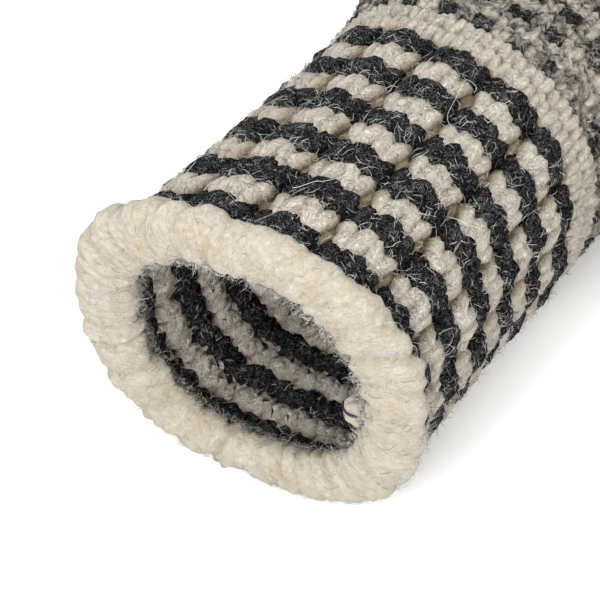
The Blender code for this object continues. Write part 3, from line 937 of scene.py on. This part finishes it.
def rim_material():
    """Thick cream wool of the rolled rim and the knotted end, darkened as painted shade, and tanner in its
    creases: more painted shade.
    """
    name = "cream rim wool"
    if name in bpy.data.materials:
        return bpy.data.materials[name]
    colours = bpy.context.scene.mitten_colours
    material, tree, shader = new_material(name)
    place = node(tree, "ShaderNodeTexCoord", {})["Object"]
    nap = wool_nap(tree, place)
    specks = hair_net(tree, place, 430.0, 0.014, 0.0)
    # Painted shade, tanner, in the creases, a little varied by the wool's tone.
    crease = times(tree, attribute(tree, "crease"), times(tree, nap["Tone"], 0.45, plus=0.45))
    # Darker copies of the cream colours: painted shade over the whole rim and the knot, varied by the wool's
    # tone.
    colour = mixed(tree, nap["Tone"], colours.shaded_rim_cream, colours.shaded_rim_warm)
    for mask in (times(tree, nap["Fibres"], 0.40), crease):
        colour = mixed(tree, mask, colour, colours.tan)
    colour = mixed(tree, times(tree, specks, 0.35), colour, colours.speck)
    finish_wool(tree, shader, colour, nap["Height"], 0.0009, sheen=0.05)
    return material


def hair_material():
    """Loose hairs, from dark to light by their tone attribute."""
    name = "loose wool hair"
    if name in bpy.data.materials:
        return bpy.data.materials[name]
    colours = bpy.context.scene.mitten_colours
    material, tree, shader = new_material(name)
    colour = mixed(tree, attribute(tree, "tone"), colours.speck, colours.pale_hair)
    fill_inputs(tree, shader, {"Base Color": colour, "Roughness": 0.6})
    return material


def plain_material(name, colour, roughness):
    material, tree, shader = new_material(name)
    fill_inputs(tree, shader, {"Base Color": colour, "Roughness": roughness})
    return material


# ======== settings

def colour_property(name, description, *value):
    return bpy.props.FloatVectorProperty(
        name=name, description=description, subtype="COLOR", size=4, min=0.0, max=1.0, default=(*value, 1.0)
    )


class MittenColours(bpy.types.PropertyGroup):
    """Colours of the wool."""

    cream: colour_property("Cream", "Undyed wool where it is palest", 0.87, 0.82, 0.73)
    warm_cream: colour_property("Warm cream", "Undyed wool where it is warmest", 0.78, 0.71, 0.60)
    # Tan is the colour of the wool's fibre streaks, and also painted shade in the recesses, at the sides of
    # the yarn and in the rims' creases.
    tan: colour_property("Tan", "Undyed wool in the recesses", 0.42, 0.33, 0.21)
    # The rim colours are darker copies of cream and warm cream: painted shade over the rims and the knot.
    shaded_rim_cream: colour_property("Rim cream", "Wool of the rims where it is palest", 0.51, 0.483, 0.435)
    shaded_rim_warm: colour_property("Rim warm", "Wool of the rims where it is warmest", 0.43, 0.372, 0.288)
    charcoal: colour_property("Charcoal", "Dark wool", 0.004, 0.004, 0.0045)
    soft_charcoal: colour_property("Soft charcoal", "Dark wool where it is lightest", 0.010, 0.010, 0.011)
    kemp: colour_property("Kemp", "Light hairs in the dark wool", 0.40, 0.40, 0.40)
    speck: colour_property("Speck", "Dark hairs in the cream wool", 0.08, 0.07, 0.06)
    pale_hair: colour_property("Pale hair", "Loose light hairs", 0.66, 0.64, 0.60)
    thread: colour_property("Thread", "The dark thread of the knot", 0.03, 0.018, 0.03)
    floor: colour_property("Floor", "The plain floor", 0.93, 0.93, 0.93)


class MittenSizes(bpy.types.PropertyGroup):
    """Numbers of loose hairs."""

    left_hairs: bpy.props.IntProperty(
        name="Hairs on the left mitten", description="Number of loose hairs", default=20500, min=0, max=30000)
    right_hairs: bpy.props.IntProperty(
        name="Hairs on the right mitten", description="Number of loose hairs", default=4800, min=0, max=30000)


# ======== operators

class MITTENS_OT_cuffs(bpy.types.Operator):
    """Builds the ribbed and striped cuffs"""
    bl_idname = "mittens.cuffs"
    bl_label = "Cuffs"

    def execute(self, context):
        for side, seed in (("left", 11), ("right", 12)):
            yarn = make_cuff_layer(f"{side}_cuff_yarn", side, cuff_round, seed, CUFF_DETAIL[side])
            lining = make_cuff_layer(f"{side}_cuff_inner_yarn", side, lining_round, seed + 2,
                                     LINING_DETAIL[side])
            cloth = make_cuff_shell(side)
            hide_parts(f"{side}_cuff")
        return {"FINISHED"}


class MITTENS_OT_rims(bpy.types.Operator):
    """Builds the rolled rims"""
    bl_idname = "mittens.rims"
    bl_label = "Rims"

    def execute(self, context):
        for side, seed in (("left", 21), ("right", 22)):
            make_rim(side, seed)
        return {"FINISHED"}


class MITTENS_OT_hands(bpy.types.Operator):
    """Builds the flecked hands and thumbs"""
    bl_idname = "mittens.hands"
    bl_label = "Hands and thumbs"

    def execute(self, context):
        for side, seed in (("left", 31), ("right", 32)):
            yarn = make_plain_yarn(f"{side}_hand_yarn", side, HAND_KNITTING, seed)
            cloth = make_hand_shell(side)
            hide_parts(f"{side}_hand")
            yarn = make_plain_yarn(f"{side}_thumb_yarn", side, THUMB_KNITTING, seed + 5)
            cloth = make_thumb_shell(side)
            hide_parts(f"{side}_thumb")
        return {"FINISHED"}


class MITTENS_OT_hairs(bpy.types.Operator):
    """Adds the loose hairs"""
    bl_idname = "mittens.hairs"
    bl_label = "Loose hairs"

    def execute(self, context):
        sizes = context.scene.mitten_sizes
        for side, many, seed in (("left", sizes.left_hairs, 41), ("right", sizes.right_hairs, 52)):
            for one in HAIR_SETS:
                paths = one.place(np.random.default_rng(seed + one.shift), int(one.share * many))
                rng = np.random.default_rng(seed + 7)
                radii = one.radius * rng.uniform(0.6, 1.5, len(paths))
                tone = rng.uniform(0.55, 1.0, len(paths))
                tone[rng.random(len(paths)) < one.dark] = DARK_TONE
                hair_mesh(f"{side}_{one.label}_hairs", side, paths, radii, tone, one.slot)
        paths = stray_hairs()
        hair_mesh("left_stray_hairs", "left", paths, np.full(len(paths), STRAY_RADIUS), np.ones(len(paths)),
                  "striped_wool")
        return {"FINISHED"}


class MITTENS_OT_knot(bpy.types.Operator):
    """Builds the knotted yarn end inside the left rim"""
    bl_idname = "mittens.knot"
    bl_label = "Knotted end"

    def execute(self, context):
        make_knot("left", 61)
        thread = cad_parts["left_knot_thread"]
        thread.data.materials.clear()
        thread.data.materials.append(plain_material("dark thread", context.scene.mitten_colours.thread, 0.7))
        return {"FINISHED"}


CAMERA_PLACE = (0.14728, -0.16188, 0.28916)        # from the mouth's centre on the left mitten
CAMERA_DOWN, CAMERA_TURN = 46.0, 38.544            # in degrees, below level and to the left of +Y
CAMERA_LENS = 89.45
FLOOR_HALF, FLOOR_LEVEL = 3.0, -0.0002
WORLD_STRENGTH = 0.88
LIGHTS_AIM = (-0.1, -0.1, 0.03)
Lamp = collections.namedtuple("Lamp", "name place power size")
LAMPS = (
    Lamp("key", (-0.45, -0.15, 1.3), 7.0, 0.8),
    Lamp("fill", (1.0, -0.5, 0.9), 9.0, 0.9),
    Lamp("front", (0.10, -0.8, 0.60), 6.5, 0.4),
)


class MITTENS_OT_stage(bpy.types.Operator):
    """Builds the floor, the lights and the camera"""
    bl_idname = "mittens.stage"
    bl_label = "Stage"

    def execute(self, context):
        scene = context.scene
        mesh = bpy.data.meshes.new("floor")
        corners = [(x * FLOOR_HALF, y * FLOOR_HALF, 0) for x, y in ((-1, -1), (1, -1), (1, 1), (-1, 1))]
        mesh.from_pydata(corners, [], [(0, 1, 2, 3)])
        floor = bpy.data.objects.new("floor", mesh)
        floor.location.z = FLOOR_LEVEL
        scene.collection.objects.link(floor)
        floor.data.materials.append(plain_material("floor", scene.mitten_colours.floor, 0.9))

        world = bpy.data.worlds.new("studio")
        world.use_nodes = True
        fill_inputs(world.node_tree, world.node_tree.nodes["Background"],
                    {"Color": (1, 1, 1, 1), "Strength": WORLD_STRENGTH})
        scene.world = world
        for each in LAMPS:
            lamp = bpy.data.lights.new(each.name, "AREA")
            lamp.shape = "SQUARE"
            lamp.energy = each.power
            lamp.size = each.size
            light = bpy.data.objects.new(each.name, lamp)
            light.location = each.place
            x, y, z = np.array(LIGHTS_AIM) - each.place
            light.rotation_euler = (math.atan2(math.hypot(x, y), -z), 0.0, math.atan2(y, x) - 0.5 * math.pi)
            scene.collection.objects.link(light)

        lens = bpy.data.cameras.new("camera")
        lens.sensor_width = 36.0
        lens.lens = CAMERA_LENS
        lens.clip_start = 0.01
        camera = bpy.data.objects.new("camera", lens)
        camera.location = to_world(np.array(CAMERA_PLACE), "left")
        camera.rotation_euler = (math.radians(90.0 - CAMERA_DOWN), 0.0, math.radians(CAMERA_TURN))
        scene.collection.objects.link(camera)
        scene.camera = camera
        scene.view_settings.view_transform = "Standard"
        return {"FINISHED"}


class MITTENS_PT_panel(bpy.types.Panel):
    """Lists the pieces in the sidebar"""
    bl_label = "Mittens"
    bl_space_type = "VIEW_3D"
    bl_region_type = "UI"
    bl_category = "Mittens"

    def draw(self, context):
        layout = self.layout
        for group in (context.scene.mitten_sizes, context.scene.mitten_colours):
            for label in group.__annotations__:
                layout.prop(group, label)
        for operator in OPERATORS:
            layout.operator(operator.bl_idname)


OPERATORS = (MITTENS_OT_stage, MITTENS_OT_rims, MITTENS_OT_cuffs, MITTENS_OT_hands, MITTENS_OT_knot,
             MITTENS_OT_hairs)
CLASSES = (MittenColours, MittenSizes, *OPERATORS, MITTENS_PT_panel)


def register():
    for each in CLASSES:
        bpy.utils.register_class(each)
    bpy.types.Scene.mitten_colours = bpy.props.PointerProperty(type=MittenColours)
    bpy.types.Scene.mitten_sizes = bpy.props.PointerProperty(type=MittenSizes)


def unregister():
    del bpy.types.Scene.mitten_colours
    del bpy.types.Scene.mitten_sizes
    for each in reversed(CLASSES):
        bpy.utils.unregister_class(each)


def main():
    """Builds the stage and then every piece."""
    register()
    bpy.ops.mittens.stage()
    bpy.ops.mittens.rims()
    bpy.ops.mittens.cuffs()
    bpy.ops.mittens.hands()
    bpy.ops.mittens.knot()
    bpy.ops.mittens.hairs()


if __name__ == "__main__":
    main()
